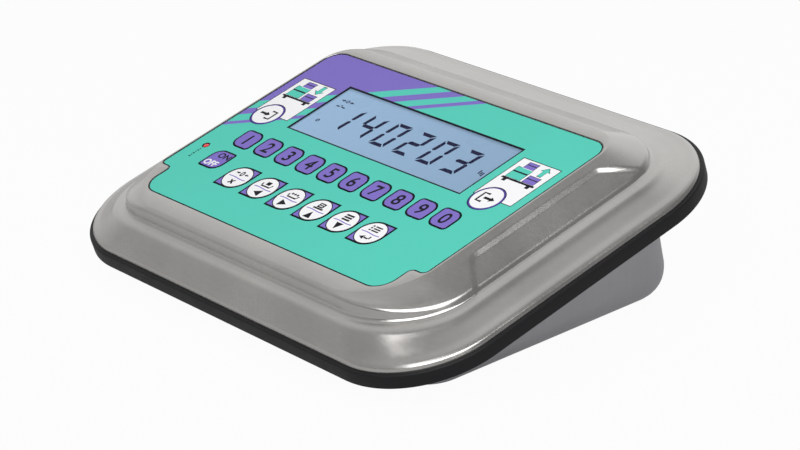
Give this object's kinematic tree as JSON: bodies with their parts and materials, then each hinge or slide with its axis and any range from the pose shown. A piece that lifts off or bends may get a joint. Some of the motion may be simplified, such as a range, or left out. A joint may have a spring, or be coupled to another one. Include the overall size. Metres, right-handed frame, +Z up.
{
  "type": "weighing indicator",
  "caption": "Desk-top weighing indicator in a pressed steel case with a sloped membrane keypad, a numeric display, a rubber seal round its lip and cable glands at the rear.",
  "frame": {"origin": "middle of the bounding box, on the desk under the feet", "axes": "+X to the right for someone who reads the panel, -Y towards that person, +Z up. The panel slopes up towards +Y by 16 degrees."},
  "size_m": [0.2852, 0.2056, 0.0839],
  "materials": {
    "steel": "brushed",
    "rubber": "matt",
    "film": "satin printed film",
    "violet_key": "satin",
    "white_key": "satin",
    "window": "clear",
    "display": "satin",
    "lamp": "clear red",
    "white_sheet": "matt",
    "flex": "satin",
    "board": "satin",
    "black_plastic": "satin",
    "terminal": "satin",
    "battery": "satin",
    "bright_steel": "plain",
    "brass": "plain"
  },
  "bodies": {
    "case": {"front_cover": "steel", "rear_case": "steel", "seal_ring": "rubber", "overlay_film": "film", "spacer_sheet": "white_sheet", "key_circuit": "flex", "snap_domes": "bright_steel", "display_window": "window", "led_lens": "lamp", "lcd_glass": "display", "display_backlight": "white_sheet", "display_frame": "black_plastic", "display_board": "board", "display_spacers": "brass", "display_screws": "bright_steel", "keypad_tail": "flex", "display_ribbon": "flex", "main_board": "board", "board_parts": "black_plastic", "terminal_blocks": "terminal", "board_standoffs": "bright_steel", "board_screws": "bright_steel", "battery_pack": "battery", "battery_bracket": "bright_steel", "bracket_studs": "bright_steel", "bracket_nuts": "bright_steel", "cover_bushes": "bright_steel", "case_screws": "bright_steel", "gland_bodies": "black_plastic", "gland_seals": "rubber", "gland_nuts": "black_plastic", "gland_locknuts": "black_plastic", "vent_plug": "black_plastic", "earth_stud": "bright_steel", "earth_nuts": "brass", "feet": "rubber", "foot_screws": "bright_steel", "foot_bushes": "bright_steel", "mount_bushes": "bright_steel"},
    "key_1": {"key_1": "violet_key"},
    "key_2": {"key_2": "violet_key"},
    "key_3": {"key_3": "violet_key"},
    "key_4": {"key_4": "violet_key"},
    "key_5": {"key_5": "violet_key"},
    "key_6": {"key_6": "violet_key"},
    "key_7": {"key_7": "violet_key"},
    "key_8": {"key_8": "violet_key"},
    "key_9": {"key_9": "violet_key"},
    "key_0": {"key_0": "violet_key"},
    "key_power": {"key_power": "violet_key"},
    "key_f1": {"key_f1": "white_key"},
    "key_f2": {"key_f2": "white_key"},
    "key_f3": {"key_f3": "white_key"},
    "key_f4": {"key_f4": "white_key"},
    "key_f5": {"key_f5": "white_key"},
    "key_f6": {"key_f6": "white_key"},
    "key_in": {"key_in": "white_key"},
    "key_out": {"key_out": "white_key"}
  },
  "joints": [
    {"name": "press_1", "type": "slide", "parent": "case", "child": "key_1", "axis": [0, 0.2756, -0.9613], "range_m": [0, 0.00035], "stiffness_N_per_m": 4000},
    {"name": "press_2", "type": "slide", "parent": "case", "child": "key_2", "axis": [0, 0.2756, -0.9613], "range_m": [0, 0.00035], "stiffness_N_per_m": 4000},
    {"name": "press_3", "type": "slide", "parent": "case", "child": "key_3", "axis": [0, 0.2756, -0.9613], "range_m": [0, 0.00035], "stiffness_N_per_m": 4000},
    {"name": "press_4", "type": "slide", "parent": "case", "child": "key_4", "axis": [0, 0.2756, -0.9613], "range_m": [0, 0.00035], "stiffness_N_per_m": 4000},
    {"name": "press_5", "type": "slide", "parent": "case", "child": "key_5", "axis": [0, 0.2756, -0.9613], "range_m": [0, 0.00035], "stiffness_N_per_m": 4000},
    {"name": "press_6", "type": "slide", "parent": "case", "child": "key_6", "axis": [0, 0.2756, -0.9613], "range_m": [0, 0.00035], "stiffness_N_per_m": 4000},
    {"name": "press_7", "type": "slide", "parent": "case", "child": "key_7", "axis": [0, 0.2756, -0.9613], "range_m": [0, 0.00035], "stiffness_N_per_m": 4000},
    {"name": "press_8", "type": "slide", "parent": "case", "child": "key_8", "axis": [0, 0.2756, -0.9613], "range_m": [0, 0.00035], "stiffness_N_per_m": 4000},
    {"name": "press_9", "type": "slide", "parent": "case", "child": "key_9", "axis": [0, 0.2756, -0.9613], "range_m": [0, 0.00035], "stiffness_N_per_m": 4000},
    {"name": "press_0", "type": "slide", "parent": "case", "child": "key_0", "axis": [0, 0.2756, -0.9613], "range_m": [0, 0.00035], "stiffness_N_per_m": 4000},
    {"name": "press_power", "type": "slide", "parent": "case", "child": "key_power", "axis": [0, 0.2756, -0.9613], "range_m": [0, 0.00035], "stiffness_N_per_m": 4000},
    {"name": "press_f1", "type": "slide", "parent": "case", "child": "key_f1", "axis": [0, 0.2756, -0.9613], "range_m": [0, 0.00035], "stiffness_N_per_m": 4000},
    {"name": "press_f2", "type": "slide", "parent": "case", "child": "key_f2", "axis": [0, 0.2756, -0.9613], "range_m": [0, 0.00035], "stiffness_N_per_m": 4000},
    {"name": "press_f3", "type": "slide", "parent": "case", "child": "key_f3", "axis": [0, 0.2756, -0.9613], "range_m": [0, 0.00035], "stiffness_N_per_m": 4000},
    {"name": "press_f4", "type": "slide", "parent": "case", "child": "key_f4", "axis": [0, 0.2756, -0.9613], "range_m": [0, 0.00035], "stiffness_N_per_m": 4000},
    {"name": "press_f5", "type": "slide", "parent": "case", "child": "key_f5", "axis": [0, 0.2756, -0.9613], "range_m": [0, 0.00035], "stiffness_N_per_m": 4000},
    {"name": "press_f6", "type": "slide", "parent": "case", "child": "key_f6", "axis": [0, 0.2756, -0.9613], "range_m": [0, 0.00035], "stiffness_N_per_m": 4000},
    {"name": "press_in", "type": "slide", "parent": "case", "child": "key_in", "axis": [0, 0.2756, -0.9613], "range_m": [0, 0.00035], "stiffness_N_per_m": 4000},
    {"name": "press_out", "type": "slide", "parent": "case", "child": "key_out", "axis": [0, 0.2756, -0.9613], "range_m": [0, 0.00035], "stiffness_N_per_m": 4000}
  ]
}
